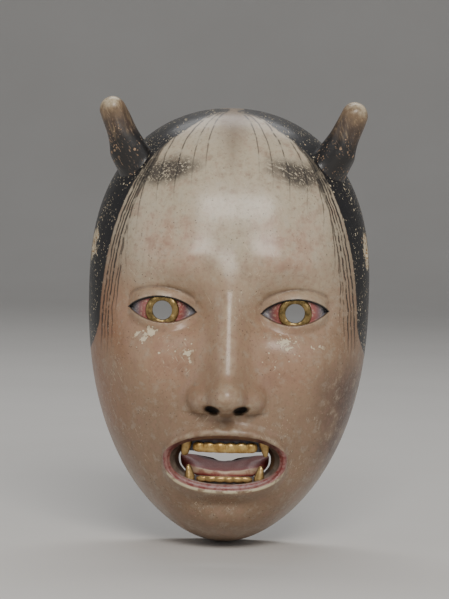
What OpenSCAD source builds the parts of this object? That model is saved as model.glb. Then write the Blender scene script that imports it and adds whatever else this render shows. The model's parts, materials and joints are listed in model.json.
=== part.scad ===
// Horned theatre mask: a carved wooden face shell, open behind, with metal eye rings, gilt
// tooth plates, four fangs, a tongue and two stub horns that are pegged on.
// X runs to the right, +Z up, and the face looks along -Y. The rim of the open back lies on the
// plane Y = 0, and the origin is the middle of the space that the wearer's face fills.
// A "depth" below is a distance in front of that plane, so it is -Y.

/* [Shell] */
// Height from the chin to the crown, without the horns
mask_h = 210; // [206:1:214]
// Width across the temples
mask_w = 136; // [134:1:138]
// Depth from the rim to the brow, without the nose
mask_d = 60; // [59:0.5:61]
// Thickness of the carved wall
wall = 7; // [6.8:0.1:7.2]

/* [Eyes] */
// Distance between the middles of the two viewing holes
eye_span = 62; // [61:0.5:63]
// Outer diameter of an eye ring
ring_od = 15.7; // [15.4:0.1:16]
// Bore of an eye ring, through which the wearer sees
ring_bore = 9.1; // [8.7:0.1:9.5]

/* [Mouth] */
// Width of the open mouth
mouth_w = 54; // [53:0.5:55]
// Height of the open mouth
mouth_h = 24; // [23.5:0.5:24.5]
// Radius of the arches that the teeth stand on
arch_r = 40; // [39.5:0.5:40.5]
// Thickness of a gilt tooth plate
plate_t = 1.2; // [1:0.1:1.4]

/* [Horns] */
// Length of a horn from its seat to its tip
horn_l = 34; // [32:1:36]
// Radius of a horn at its tip
horn_r = 6; // [5.8:0.1:6.2]
// How far a horn leans outwards, in degrees
horn_lean = 22; // [20:1:24]
// How far a horn leans forwards, in degrees
horn_nod = 8; // [6:1:10]

/* [Cord holes] */
// Diameter of the two holes that the tying cords pass through
cord_d = 4.6; // [4.2:0.2:5]

/* [Hidden] */

half_h = mask_h / 2;
half_w = mask_w / 2;
gap = 0.05;              // clearance between a piece and its seat
bore_l = 60;             // longer than any hole is deep
rows = 66;               // rows of the shell's surface from the chin to the crown
columns = 46;            // columns of the shell's surface from rim to rim
nose_row = -0.29;        // where the rows crowd together under the nose, from -1 to 1
nose_rows = 0.17;        // how far on either side they do so

eye_x = eye_span / 2;
eye_z = 9;
eye_ball_r = 15.5;       // radius of the carved eyeball
eye_ball_depth = 39;     // depth of its centre
ring_depth = 51;         // the flat seat that a ring stands on
ring_h = 2;              // how far a ring's dome stands out of its seat
ring_edge = 0.5;         // thickness of a ring at its rim
ring_spigot = 3;         // how far a ring's spigot reaches back into its hole
view_r = 5.2;            // the hole in the wood behind a ring
view_straight = 4;       // length of that hole before it flares
flare_depth = 20;        // depth at which the flare starts, inside the shell
flare_r = 18;            // and its radius there

nostril_x = 6.6;
nostril_depth = 66;      // where a nostril's axis starts, below and before the nose
nostril_z = -40;
nostril_tilt = 52;       // how steeply a nostril rises into the nose, in degrees
nostril_r = 2.2;
nostril_l = 24;

mouth_z = -60.5;
upper_arch_depth = 17;   // depth of the centre of the upper arch
lower_arch_depth = 13;   // depth of the centre of the lower arch, which bites behind the upper
gum_t = 5;               // thickness of the wooden ledge behind the teeth
gum_angle = 30;          // half the angle that the ledges reach round
gum_top_z = -44;         // where the upper ledge ends, inside the wall over the mouth
gum_step = 0.3;          // how far a ledge stops short of its teeth's edge
upper_teeth_z = [-56.5, -50];
upper_teeth_angle = 22;
lower_teeth_z = [-72.5, -68];
lower_teeth_angle = 19;
tooth_count = 6;         // teeth on a plate
groove_r = 0.6;          // radius of the grooves between them
floor_z = -70.5;         // top of the ledge that the tongue lies on
floor_t = 7;
floor_r = [10, 36];      // the ledge's inner and outer radius about the lower arch

tongue_l = 19;
tongue_half = 21;        // half its breadth, across the raised sides
tongue_foot_half = 15;   // half its breadth where it lies on the ledge
tongue_front = 4.8;      // its height at the front
tongue_back = 8;         // in the middle of the root
tongue_side = 12;        // and at the sides, which rise behind the fangs
tongue_dish_r = 40;      // radius of the hollow along its top
tongue_gap = 0.6;        // space between its front and the ledge

fang_r = 2.3;
fang_l = 7.5;            // how far a fang stands out of the wood
fang_peg_l = 4;          // how far its root goes into the wood
upper_fang_x = 18.5;
lower_fang_x = 16.5;
upper_fang_z = -51;      // where the upper fangs come out of the wood
lower_fang_z = -70.6;
upper_fang_forward = 1.5; // how far the upper fangs stand before their arch

horn_x = 47;
horn_z = 77;
peg_r = 2.5;
peg_in_wall = 5.5;       // how far a horn's peg goes into the shell
peg_in_horn = 12;

cord_z = 36;
cord_depth = 14;

gesso = [0.72, 0.62, 0.50];
lacquer = [0.16, 0.13, 0.11];
brass = [0.66, 0.48, 0.20];
gilt = [0.74, 0.57, 0.26];
tarnished_gilt = [0.62, 0.50, 0.28];
red = [0.60, 0.30, 0.27];
cypress = [0.72, 0.56, 0.36];

// Soft rises and hollows of the face: side distance, height, their two spreads, and rise.
bumps = [
    [27, 33, 19, 8, 2.2],      // brow ridge
    [31, 11, 18, 13, -8],      // eye socket
    [17, 9, 7, 9, -5],         // inner corner of the socket
    [40, -18, 17, 15, 3.5],    // cheekbone
    [24, -24, 10, 12, -1],     // beside the nose
    [0, -60, 30, 24, 4],       // round the mouth
    [0, -93, 17, 9, 4.5],      // chin
    [0, -80.5, 15, 3.5, -2.2], // fold under the lower lip
    [20, 62, 20, 18, 1.2],     // forehead
    [60, 34, 12, 22, -1.5],    // temple
];

function clamp(v, low, high) = max(low, min(high, v));
function bell(v) = exp(-v * v);
function soft_max(a, b, k) = (a + b + sqrt((a - b) * (a - b) + k * k)) / 2;
// A round cap over q = 0, which falls away below the surface past q = 1.
function cap(q, rise) = rise * (q < 1 ? sqrt(1 - q * q) : -3 * (q - 1));

// Half the width, and the depth at the middle, at a height t from -1 (chin) to 1 (crown).
function half_width(t) = t > 0.15
    ? half_w * pow(1 - pow((t - 0.15) / 0.85, 2.5), 0.48)
    : half_w * pow(1 - pow((0.15 - t) / 1.15, 2.3), 0.56);
function mid_depth(t) = t > -0.1
    ? mask_d * pow(1 - pow((t + 0.1) / 1.1, 2.8), 0.5)
    : mask_d * pow(1 - pow((-0.1 - t) / 0.9, 4), 0.45);

// A point [x, depth, z] of the plain dome, from a latitude and a longitude in degrees.
function dome(lat, lon) = let(t = sin(lat)) [
    half_width(t) * sign(lon) * pow(abs(sin(lon)), 0.8),
    mid_depth(t) * pow(abs(cos(lon)), 0.92),
    half_h * t,
];
// The dome's depth at a place on it.
function dome_depth(x, z) = let(t = z / half_h)
    mid_depth(t) * pow(1 - pow(abs(x) / half_width(t), 2.5), 0.46);

function relief(x, z, i = 0) = i == len(bumps) ? 0 : let(b = bumps[i])
    b[4] * bell((abs(x) - b[0]) / b[2]) * bell((z - b[1]) / b[3]) + relief(x, z, i + 1);

// The nose: a ridge that rises from the root to the tip, a round tip and two wings.
function nose(x, z) = let(
    s = clamp((19 - z) / 48, -0.45, 1),
    along = max(s, 0),
    under = clamp((-29 - z) / 8.5, 0, 1),
    root = (s + 0.45) / 0.55,
    start = root < 1 ? root * root * (3 - 2 * root) : 1,
    rise = (2.5 + 15.5 * pow(along, 1.25)) * start * pow(1 - pow(under, 2.4), 0.55),
    ridge = rise * exp(-pow(abs(x) / (7 + 5 * pow(along, 1.5)), 2.3)),
    tip = 6 + cap(norm([x / 9, (z + 29) / 8.6]), 14),
    wing = 1 + cap(norm([(abs(x) - 12) / 6.6, (z + 31) / 6.4]), 9.5)
) soft_max(soft_max(ridge, tip, 3), wing, 1.6);

function eye_ball(x, z) = eye_ball_depth
    + cap(norm([abs(x) - eye_x, z - eye_z]) / eye_ball_r, eye_ball_r);
function lips(x, z) = 2.4 * bell((norm([x * 2 / mouth_w, (z - mouth_z) * 2 / mouth_h]) - 1.3) / 0.25);

// Points of the wall's two sides. The features fade out where the dome meets the rim.
function fade(p) = clamp(p[1] / 8, 0, 1);
function outer(lat, lon) = let(
    p = dome(lat, lon),
    face = soft_max(p[1] + relief(p[0], p[2]) + nose(p[0], p[2]), eye_ball(p[0], p[2]), 2)
        + lips(p[0], p[2])
) [p[0], -(p[1] + (face - p[1]) * fade(p)), p[2]];
function inner(lat, lon) = let(
    p = dome(lat, lon),
    carved = 0.75 * relief(p[0], p[2]) + 0.55 * (nose(p[0], p[2]) - 1)
) [
    p[0] * (1 - wall / half_w),
    -(p[1] * (1 - wall / mask_d) + carved * fade(p)),
    p[2] * (1 - wall / half_h),
];

// Rows and columns lie closer together where the nose is.
function row_lat(i) = let(v = 2 * i / rows - 1, u = (v - nose_row) / nose_rows)
    67.5 * v + 22.5 * pow(v, 3) - 36 * nose_rows * u * bell(u);
function column_lon(j) = let(v = 2 * j / columns - 1)
    49.5 * sign(v) * pow(abs(v), 1.25) + 40.5 * pow(v, 3);

per_row = columns + 1;
skin_points = (rows - 1) * per_row + 2;
outer_points = concat(
    [[0, 0, -half_h]],
    [for (i = [1:rows - 1], j = [0:columns]) outer(row_lat(i), column_lon(j))],
    [[0, 0, half_h]]
);
inner_points = concat(
    [[0, 0, wall - half_h]],
    [for (i = [1:rows - 1], j = [0:columns]) inner(row_lat(i), column_lon(j))],
    [[0, 0, half_h - wall]]
);

// The index of the point in row i and column j, where the first and last rows are one point.
function at(i, j) = i == 0 ? 0 : i == rows ? skin_points - 1 : 1 + (i - 1) * per_row + j;
// The two triangles of four corners, less the one that vanishes at a pole.
function quad(a, b, c, d) = [
    for (f = [[a, b, c], [a, c, d]]) if (f[0] != f[1] && f[1] != f[2] && f[0] != f[2]) f
];
outer_faces = [for (i = [0:rows - 1], j = [0:columns - 1])
    each quad(at(i, j), at(i + 1, j), at(i + 1, j + 1), at(i, j + 1))];

// The carved wall: an outer and an inner skin on one grid, joined by the flat rim.
module carved_wall() {
    inner_faces = [for (f = outer_faces) [f[0] + skin_points, f[2] + skin_points, f[1] + skin_points]];
    rim_faces = [for (i = [0:rows - 1], j = [0, columns]) each
        j == 0
            ? quad(at(i, j), at(i, j) + skin_points, at(i + 1, j) + skin_points, at(i + 1, j))
            : quad(at(i, j), at(i + 1, j), at(i + 1, j) + skin_points, at(i, j) + skin_points)];
    polyhedron(concat(outer_points, inner_points), concat(outer_faces, inner_faces, rim_faces),
        convexity = 8);
}

// The outer skin closed by a flat back, which is what a horn's foot is cut to fit.
module filled_face() {
    back_faces = [for (i = [0:rows - 1])
        each quad(at(i, 0), at(i, columns), at(i + 1, columns), at(i + 1, 0))];
    polyhedron(outer_points, concat(outer_faces, back_faces), convexity = 8);
}

// Places its children at a depth, with their +Z turned to face forwards.
module facing(x, depth, z) {
    translate([x, -depth, z]) rotate([90, 0, 0]) children();
}

// A band that follows an arch of teeth, between two radii and two heights.
module arch(depth, r, z, half_angle) {
    translate([0, -depth, z[0]]) rotate([0, 0, -90 - half_angle])
        rotate_extrude(angle = 2 * half_angle, $fn = 96)
            translate([r[0], 0]) square([r[1] - r[0], z[1] - z[0]]);
}

module mouth_opening() {
    outline = [for (a = [0:10:350]) [
        mouth_w / 2 * sign(cos(a)) * pow(abs(cos(a)), 0.9),
        mouth_h / 2 * sign(sin(a)) * pow(abs(sin(a)), 0.9),
    ]];
    facing(0, 30, mouth_z) linear_extrude(bore_l) polygon(outline);
}

// The wooden ledges behind the teeth and under the tongue.
module gums() {
    behind = [arch_r - gum_t, arch_r - 3 * gap];
    foot = floor_z - floor_t;
    arch(upper_arch_depth, behind, [upper_teeth_z[0] + gum_step, gum_top_z], gum_angle);
    arch(lower_arch_depth, behind, [foot, lower_teeth_z[1] - gum_step], gum_angle);
    arch(lower_arch_depth, floor_r, [foot, floor_z], gum_angle);
}

// A ring's seat, the viewing hole behind it and the flare inside the shell.
module eye_opening(side) {
    facing(side * eye_x, flare_depth, eye_z) {
        cylinder(h = bore_l, r = view_r, $fn = 64);
        cylinder(h = ring_depth - flare_depth - view_straight, r1 = flare_r, r2 = view_r, $fn = 64);
    }
    facing(side * eye_x, ring_depth, eye_z) cylinder(h = bore_l, r = ring_od / 2 + gap, $fn = 64);
}

module nostril(side) {
    translate([side * nostril_x, -nostril_depth, nostril_z]) rotate([-nostril_tilt, 0, 0])
        cylinder(h = nostril_l, r = nostril_r, $fn = 40);
}

module cord_hole(side) {
    translate([side * (half_w - 18), -cord_depth, cord_z]) rotate([0, side * 90, 0])
        cylinder(h = bore_l, r = cord_d / 2, $fn = 48);
}

// Places its children on a horn's axis, with the seat at 0 and the tip along +Z.
module on_horn(side) {
    translate([side * horn_x, -dome_depth(horn_x, horn_z), horn_z])
        rotate([horn_nod, side * horn_lean, 0]) children();
}

// A horn's peg, or the hole for it when it is grown by the clearance.
module horn_peg_shape(side, grow = 0) {
    on_horn(side) translate([0, 0, -peg_in_wall - grow])
        cylinder(h = peg_in_wall + peg_in_horn + 2 * grow, r = peg_r + grow, $fn = 40);
}

// Places its children at a fang's root, with the fang along +Z. up is 1 for the upper jaw.
module on_fang(side, up) {
    x = up > 0 ? upper_fang_x : lower_fang_x;
    r = arch_r + (up > 0 ? upper_fang_forward : 0);
    depth = (up > 0 ? upper_arch_depth : lower_arch_depth) + sqrt(r * r - x * x);
    translate([side * x, -depth, up > 0 ? upper_fang_z : lower_fang_z])
        rotate([up > 0 ? 180 : 0, 0, 0]) children();
}

module fang_socket(side, up) {
    on_fang(side, up) translate([0, 0, -fang_peg_l - gap])
        cylinder(h = fang_peg_l + 3, r = fang_r + gap, $fn = 40);
}

module face_shell() {
    plate = [arch_r - gap, arch_r + plate_t + gap];
    color(gesso) difference() {
        union() {
            difference() {
                carved_wall();
                mouth_opening();
            }
            gums();
        }
        arch(upper_arch_depth, plate, upper_teeth_z + [-gap, gap], upper_teeth_angle + 0.2);
        arch(lower_arch_depth, plate, lower_teeth_z + [-gap, gap], lower_teeth_angle + 0.2);
        for (side = [-1, 1]) {
            eye_opening(side);
            nostril(side);
            cord_hole(side);
            horn_peg_shape(side, gap);
            for (up = [-1, 1]) fang_socket(side, up);
        }
    }
}

// A tapered stub on a flared foot, which is scribed to the shell.
module horn(side) {
    // Distance from the seat, shift towards the middle of the face and radius, from the buried
    // foot to the tip.
    taper = [[-9, 3.6, 12.5], [-4, 2.8, 11.6], [0, 2, 10.7], [4, 1.2, 9.8], [8, 0.6, 9],
        [13, 0.2, 8.2], [18, 0, 7.5], [23, 0, 6.9], [horn_l - horn_r, 0, horn_r]];
    color(lacquer) difference() {
        on_horn(side) for (i = [0:len(taper) - 2]) hull() for (k = [i, i + 1])
            translate([-side * taper[k][1], 0, taper[k][0]]) sphere(r = taper[k][2], $fn = 32);
        scale(1.001) filled_face();
        horn_peg_shape(side, gap);
    }
}

module horn_peg(side) {
    color(cypress) horn_peg_shape(side);
}

// A domed washer with a spigot round its bore that stands in the wood behind it.
module eye_ring(side) {
    middle = (ring_od + ring_bore) / 4;
    half = (ring_od - ring_bore) / 4;
    spigot_r = view_r - gap;
    foot = [[ring_bore / 2, -ring_spigot], [spigot_r, -ring_spigot], [spigot_r, 0], [ring_od / 2, 0]];
    dome = [for (a = [0:15:180])
        [middle + half * cos(a), ring_edge + (ring_h - ring_edge) * sin(a)]];
    color(brass) facing(side * eye_x, ring_depth, eye_z)
        rotate_extrude($fn = 72) polygon(concat(foot, dome));
}

// A curved plate with shallow grooves between its teeth.
module teeth(depth, z, half_angle) {
    color(gilt) difference() {
        arch(depth, [arch_r, arch_r + plate_t], z, half_angle);
        for (k = [1:tooth_count - 1])
            translate([0, -depth, z[0] - 1]) rotate([0, 0, half_angle * (2 * k / tooth_count - 1)])
                translate([0, -arch_r - plate_t - groove_r / 3, 0])
                    cylinder(h = z[1] - z[0] + 2, r = groove_r, $fn = 24);
    }
}

// A round root in the wood, and a point that curls outwards and forwards.
module fang(side, up) {
    curl = [[0, 0, fang_r], [0.35, 0.45, 1.9], [0.7, 0.75, 1.2], [1, 0.8, 0.5]];
    color(tarnished_gilt) on_fang(side, up) {
        translate([0, 0, -fang_peg_l]) cylinder(h = fang_peg_l, r = fang_r, $fn = 40);
        for (i = [0:len(curl) - 2]) hull() for (k = [i, i + 1]) {
            lift = curl[k][0] * (fang_l - 0.5);
            translate([side * curl[k][1], up * curl[k][1] / 2, lift]) sphere(r = curl[k][2], $fn = 20);
        }
    }
}

// A tongue hollowed like a dish, whose sides rise behind the fangs. It lies flat on its ledge.
module tongue() {
    foot_r = 8;
    side_r = 4;
    front_r = arch_r - gum_t - tongue_gap;
    slope = atan((tongue_back - tongue_front) / tongue_l);
    // A ball squashed to half a height.
    module lobe(x, y, z, r, half_height) {
        translate([x, y, z]) scale([1, 1, half_height / r]) sphere(r = r, $fn = 32);
    }
    color(red) translate([0, -lower_arch_depth - front_r, floor_z]) difference() {
        intersection() {
            hull() for (side = [-1, 1]) {
                for (y = [foot_r, tongue_l - foot_r])
                    lobe(side * (tongue_foot_half - foot_r), y, 0, foot_r, tongue_front);
                for (y = [2 * side_r, tongue_l - side_r])
                    lobe(side * (tongue_half - side_r), y, tongue_side - side_r, side_r, side_r);
            }
            translate([0, front_r, 0]) cylinder(h = tongue_side, r = front_r, $fn = 96);
        }
        translate([0, 0, tongue_front]) rotate([slope, 0, 0]) translate([0, -gum_t, tongue_dish_r])
            rotate([-90, 0, 0]) cylinder(h = bore_l, r = tongue_dish_r, $fn = 96);
    }
}

face_shell();
horn(-1);  // left_horn
horn(1);  // right_horn
horn_peg(-1);  // left_horn_peg
horn_peg(1);  // right_horn_peg
eye_ring(-1);  // left_eye_ring
eye_ring(1);  // right_eye_ring
teeth(upper_arch_depth, upper_teeth_z, upper_teeth_angle);  // upper_teeth
teeth(lower_arch_depth, lower_teeth_z, lower_teeth_angle);  // lower_teeth
fang(-1, 1);  // upper_left_fang
fang(1, 1);  // upper_right_fang
fang(-1, -1);  // lower_left_fang
fang(1, -1);  // lower_right_fang
tongue();
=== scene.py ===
# The looks of a horned theatre mask: an aged, glossy gesso skin with painted hair, metal eye
# rings, gilt teeth and fangs, a red tongue and two short horns, on a plain studio floor.
import json
import math

import bmesh
import bpy
import numpy as np
from mathutils import Matrix, Vector
from mathutils.bvhtree import BVHTree


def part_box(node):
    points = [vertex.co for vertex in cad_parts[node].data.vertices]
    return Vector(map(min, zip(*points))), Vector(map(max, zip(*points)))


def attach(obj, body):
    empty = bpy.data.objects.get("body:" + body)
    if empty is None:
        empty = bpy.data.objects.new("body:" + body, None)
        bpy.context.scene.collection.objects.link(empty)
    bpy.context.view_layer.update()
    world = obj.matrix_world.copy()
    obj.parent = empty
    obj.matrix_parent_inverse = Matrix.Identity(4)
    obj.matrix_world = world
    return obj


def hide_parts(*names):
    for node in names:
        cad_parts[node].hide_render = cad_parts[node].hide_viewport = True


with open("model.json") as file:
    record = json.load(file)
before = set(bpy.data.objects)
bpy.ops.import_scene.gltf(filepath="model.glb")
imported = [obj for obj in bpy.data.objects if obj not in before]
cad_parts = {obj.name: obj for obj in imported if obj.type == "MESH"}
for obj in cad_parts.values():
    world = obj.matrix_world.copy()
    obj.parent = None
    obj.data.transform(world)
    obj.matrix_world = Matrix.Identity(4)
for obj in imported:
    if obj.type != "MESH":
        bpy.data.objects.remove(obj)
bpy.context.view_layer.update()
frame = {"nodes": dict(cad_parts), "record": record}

BODY = "root"
MM = 0.001


# ---------------------------------------------------------------- sizes, in millimetres
# A depth is a distance in front of the flat back rim, so it is -Y.

def box_mm(node):
    """A CAD node's lowest and highest corners, in millimetres."""
    return [np.array(corner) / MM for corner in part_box(node)]


shell_low, shell_high = box_mm("face_shell")
ring_low, ring_high = box_mm("right_eye_ring")
tongue_low, tongue_high = box_mm("tongue")
cord_mount = next(m for m in frame["record"]["mounts"] if m["name"] == "cord_hole_right")

HALF_W = shell_high[0]
HALF_H = shell_high[2]
DOME = 60.0          # depth of the plain dome under the features
WALL = 7.0           # thickness of the carved wall
LAT_SHARE = 0.22     # how far the rows and columns of the skin crowd to the middle
LON_SHARE = 0.20
EYE_X = (ring_low[0] + ring_high[0]) / 2
EYE_Z = (ring_low[2] + ring_high[2]) / 2
RING_R = (ring_high[0] - ring_low[0]) / 2
RING_BORE = 4.55     # radius of the hole through a ring
EYE_HALF = 15.5      # half the length of the eye opening
BALL_R = 14.5        # radius of an eyeball, and the depth of its middle
BALL_DEPTH = 39.0
LID = 1.7            # thickness of an eyelid
VIEW_R = 5.3         # hole in the wood behind a ring
VIEW_FLARE_R = 7.6   # the same hole at the back of the wall
MOUTH_Z = -60.3
MOUTH_HALF = 26.5
MOUTH_UP = 11.6      # how far the opening reaches above and below its middle
MOUTH_DOWN = 12.0
SQUARENESS = 2.3     # 2 would be an ellipse
UPPER_ARCH = 17.0    # depths of the centres of the arches that the teeth follow
LOWER_ARCH = 13.0
ARCH_R = 40.0
FLOOR_Z = tongue_low[2]
CORD_R = cord_mount["dims"]["r_mm"]
CORD_DEPTH = -cord_mount["pos_m"][1] / MM
CORD_Z = cord_mount["pos_m"][2] / MM
HORN_X = 47.0        # where the axis of a horn meets the skin
HORN_Z = 77.0
HORN_DEPTH = 22.5
HORN_L = 34.0        # from there to its tip
HORN_TIP_R = 6.0
HORN_LEAN = math.radians(22)
HORN_NOD = math.radians(8)


# ---------------------------------------------------------------- the form of the carved face

def smooth(low, high, value):
    t = np.clip((value - low) / (high - low), 0, 1)
    return t * t * (3 - 2 * t)


def bell(value):
    return np.exp(-value * value)


def soft_max(a, b, blend):
    return 0.5 * (a + b + np.sqrt((a - b) ** 2 + blend * blend))


def cap(q, rise, fullness=0.5):
    """A rounded cap over q = 0 that falls away below the surface past q = 1."""
    return rise * np.where(q < 1, np.clip(1 - q * q, 0, 1) ** fullness, -3 * (q - 1))


def half_width(t):
    """Half the width of the dome at a height t, from -1 at the chin to 1 at the crown."""
    up = np.clip((t - 0.15) / 0.85, 0, 1)
    down = np.clip((0.15 - t) / 1.15, 0, 1)
    return HALF_W * np.where(t > 0.15, (1 - up ** 2.5) ** 0.48, (1 - down ** 2.3) ** 0.56)


def middle_depth(t):
    up = np.clip((t + 0.1) / 1.1, 0, 1)
    down = np.clip((-0.1 - t) / 0.9, 0, 1)
    return DOME * np.where(t > -0.1, (1 - up ** 2.8) ** 0.5, (1 - down ** 4.0) ** 0.45)


def dome(lat, lon):
    """Side distance, depth and height of the plain dome at two angles."""
    t = np.sin(lat)
    x = half_width(t) * np.sign(lon) * np.abs(np.sin(lon)) ** 0.8
    return x, middle_depth(t) * np.abs(np.cos(lon)) ** 0.92, HALF_H * t


# Soft rises and hollows: side distance, height, their two spreads, and rise.
SOFT_FORMS = {
    "brow ridge": (27, 33, 20, 8.5, 2.6),
    "eye socket": (31, 11, 18, 13, -8.0),
    "inner corner of the socket": (17, 9, 7, 9, -5.0),
    "cheekbone": (40, -16, 17, 15, 3.8),
    "side of the nose": (24, -24, 9, 13, -1.4),
    "muzzle": (0, -60, 30, 24, 4.0),
    "chin": (0, -93, 17, 9, 4.5),
    "fold under the lower lip": (0, -80.5, 16, 3.6, -2.4),
    "forehead": (20, 62, 20, 18, 1.4),
    "dip between the brows": (0, 36, 8, 12, -1.2),
    "temple": (60, 34, 12, 22, -1.5),
    "hollow of the cheek": (42, -50, 11, 18, -2.0),
    "corner of the mouth": (32, -62, 5, 9, -1.6),
}


def relief(x, z):
    side = np.abs(x)
    total = np.zeros_like(x)
    for cx, cz, sx, sz, rise in SOFT_FORMS.values():
        total += rise * bell((side - cx) / sx) * bell((z - cz) / sz)
    return total


def nose(x, z):
    """Rise of the nose over the face: a ridge, a round tip and two wings."""
    side = np.abs(x)
    s = np.clip((19.0 - z) / 48.0, -0.6, 1)
    along = np.clip(s, 0, 1)
    under = np.clip((-29.0 - z) / 8.5, 0, 1)
    rise = (2.5 + 15.0 * along ** 1.2) * smooth(-0.45, 0.1, s) * (1 - under ** 2.4) ** 0.55
    ridge = rise * np.exp(-(side / (7 + 5 * along ** 1.5)) ** 2.3)
    tip = 5.5 + cap(np.hypot(x / 9.6, (z + 28.5) / 9.0), 14.0, 0.62)
    wing = 0.4 + cap(np.hypot((side - 11.0) / 7.4, (z + 31.0) / 6.8), 9.4, 0.66)
    return soft_max(soft_max(ridge, tip, 3.4), wing, 4.2)


def eye_level(x, z):
    """Distance outside the eye opening (negative inside it), and 1 on its upper side."""
    e = np.abs(x) - EYE_X
    f = z - EYE_Z - 0.05 * e
    s = np.clip(e / EYE_HALF, -1, 1)
    c = 1 - s * s
    over = np.maximum(f - 6.2 * c ** 0.85, -5.6 * c ** 0.95 - f) / np.sqrt(1 + (0.85 * s) ** 2)
    beyond = np.maximum(np.abs(e) - EYE_HALF, 0)
    return np.where(beyond > 0, np.hypot(beyond, f), over), np.where(f > 0, 1.0, -1.0)


def mouth_level(x, z):
    """Distance outside the open mouth (negative inside it), and 1 on its upper side."""
    upper = z > MOUTH_Z
    high = np.where(upper, MOUTH_UP, MOUTH_DOWN)
    s = np.abs(x) / MOUTH_HALF
    v = np.abs(z - MOUTH_Z) / high
    q = (s ** SQUARENESS + v ** SQUARENESS) ** (1 / SQUARENESS) + 1e-6
    slope = np.hypot(s ** (SQUARENESS - 1) / MOUTH_HALF, v ** (SQUARENESS - 1) / high)
    steep = q ** (1 - SQUARENESS) * slope
    return (q - 1) / (steep + 1e-6), np.where(upper, 1.0, -1.0)


def nostril_level(x, z):
    """1 in the middle of a nostril, falling to 0 past its edge."""
    q = np.hypot((np.abs(x) - 6.4) / 3.7, (z + 35.6 - 0.16 * (np.abs(x) - 6.4)) / 2.1)
    return np.exp(-q ** 4)


def with_eyes(x, z, depth):
    """Adds an eyeball, two lids and the crease over the upper one."""
    level, side = eye_level(x, z)
    e = np.abs(x) - EYE_X
    from_middle = np.hypot(e, z - EYE_Z)
    ball = soft_max(BALL_DEPTH + cap(from_middle / BALL_R, BALL_R), depth - 2.2, 1.0)
    lid_r = BALL_R + LID
    lids = soft_max(BALL_DEPTH + cap(from_middle / lid_r, lid_r), depth, 2.5)
    in_reach = smooth(1.25, 0.7, np.abs(e) / EYE_HALF)
    lids = lids - 1.2 * bell((level - 4.6) / 1.1) * (side > 0) * in_reach
    lids = lids - 0.5 * bell((level - 4.2) / 1.4) * (side < 0) * in_reach
    return ball + (lids - ball) * smooth(-0.35, 0.35, level)


def with_lips(x, z, depth):
    """Adds full lips that roll in to the mouth, and the groove over the upper one."""
    level, side = mouth_level(x, z)
    c = np.clip(1 - (x / (MOUTH_HALF + 3)) ** 2, 0, 1)
    breadth = np.where(side > 0, 6.4, 7.4) * (0.45 + 0.55 * c ** 0.6)
    q = np.clip(level / breadth, 0, 1)
    swell = np.where(side > 0, 2.6, 3.2) * (0.4 + 0.6 * c ** 0.5) * np.sin(np.pi * q ** 0.72)
    border = 0.5 * bell((level - breadth) / 0.9) * c ** 0.3
    rolled = np.clip((2.4 - level) / 3.4, 0, 1)
    depth = depth + swell + border - 3.6 * (1 - np.sqrt(1 - rolled ** 2))
    near = bell((z + 43.0) / 4.8)
    side_of_groove = np.abs(x) - 4.2
    return depth - 0.55 * near * bell(x / 2.6) + 0.35 * near * bell(side_of_groove / 1.9)


def outer_skin(lat, lon):
    """Points of the finished outer surface, in millimetres."""
    x, plain, z = dome(lat, lon)
    depth = plain + relief(x, z) + nose(x, z)
    depth = with_eyes(x, z, depth)
    depth = with_lips(x, z, depth) - 8.0 * nostril_level(x, z)
    depth = plain + (depth - plain) * np.clip(plain / 8, 0, 1)
    return np.stack([x, -depth, z], axis=-1)


def inner_skin(lat, lon):
    """Points of the hollowed inner surface, with the low marks of a gouge on it."""
    x, plain, z = dome(lat, lon)
    carved = 0.75 * relief(x, z) + 0.55 * (nose(x, z) - 1)
    gouged = 0.22 * np.sin(0.62 * x + 1.3 * np.sin(0.05 * z)) * np.sin(0.16 * z + 0.9 * np.sin(0.21 * x))
    depth = plain * (1 - WALL / DOME) + (carved + gouged) * np.clip(plain / 8, 0, 1)
    return np.stack([x * (1 - WALL / HALF_W), -depth, z * (1 - WALL / HALF_H)], axis=-1)


# ---------------------------------------------------------------- mesh helpers

def finish_piece(bm, name, material, replaces=(), sharp_angle=None):
    """Turns a bmesh in metres into a smooth piece that rides on the mask."""
    mesh = bpy.data.meshes.new(name)
    bm.normal_update()
    bm.to_mesh(mesh)
    bm.free()
    mesh.polygons.foreach_set("use_smooth", [True] * len(mesh.polygons))
    if sharp_angle:
        mesh.set_sharp_from_angle(angle=math.radians(sharp_angle))
    mesh.materials.append(material)
    piece = bpy.data.objects.new(name, mesh)
    bpy.context.scene.collection.objects.link(piece)
    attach(piece, BODY)
    if replaces:
        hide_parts(*replaces)
    set_attribute(piece, "crevice", crevices(mesh))
    return piece


def positions(bm):
    return np.array([v.co for v in bm.verts])


def place(bm, points):
    for vert, point in zip(bm.verts, points):
        vert.co = point


def read_array(collection, name, per_item, kind=np.float32):
    """One property of every item in a mesh, as an array with a row for each item."""
    values = np.empty(len(collection) * per_item, dtype=kind)
    collection.foreach_get(name, values)
    return values.reshape(-1, per_item)


def set_attribute(piece, name, values):
    layer = piece.data.attributes.new(name, "FLOAT", "POINT")
    layer.data.foreach_set("value", np.asarray(values, dtype=np.float32))


def face_outwards(bm):
    bmesh.ops.recalc_face_normals(bm, faces=bm.faces[:])
    if bm.calc_volume(signed=True) < 0:
        bmesh.ops.reverse_faces(bm, faces=bm.faces[:])


def lofted(sides, rows, form):
    """A closed round piece. form gives points from t, 0 to 1 along it, and the angle round it."""
    bm = bmesh.new()
    bmesh.ops.create_uvsphere(bm, u_segments=sides, v_segments=rows, radius=1)
    ball = positions(bm)
    t = 1 - np.arccos(np.clip(ball[:, 2], -1, 1)) / math.pi
    place(bm, form(t, np.arctan2(ball[:, 1], ball[:, 0])) * MM)
    face_outwards(bm)
    return bm


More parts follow.
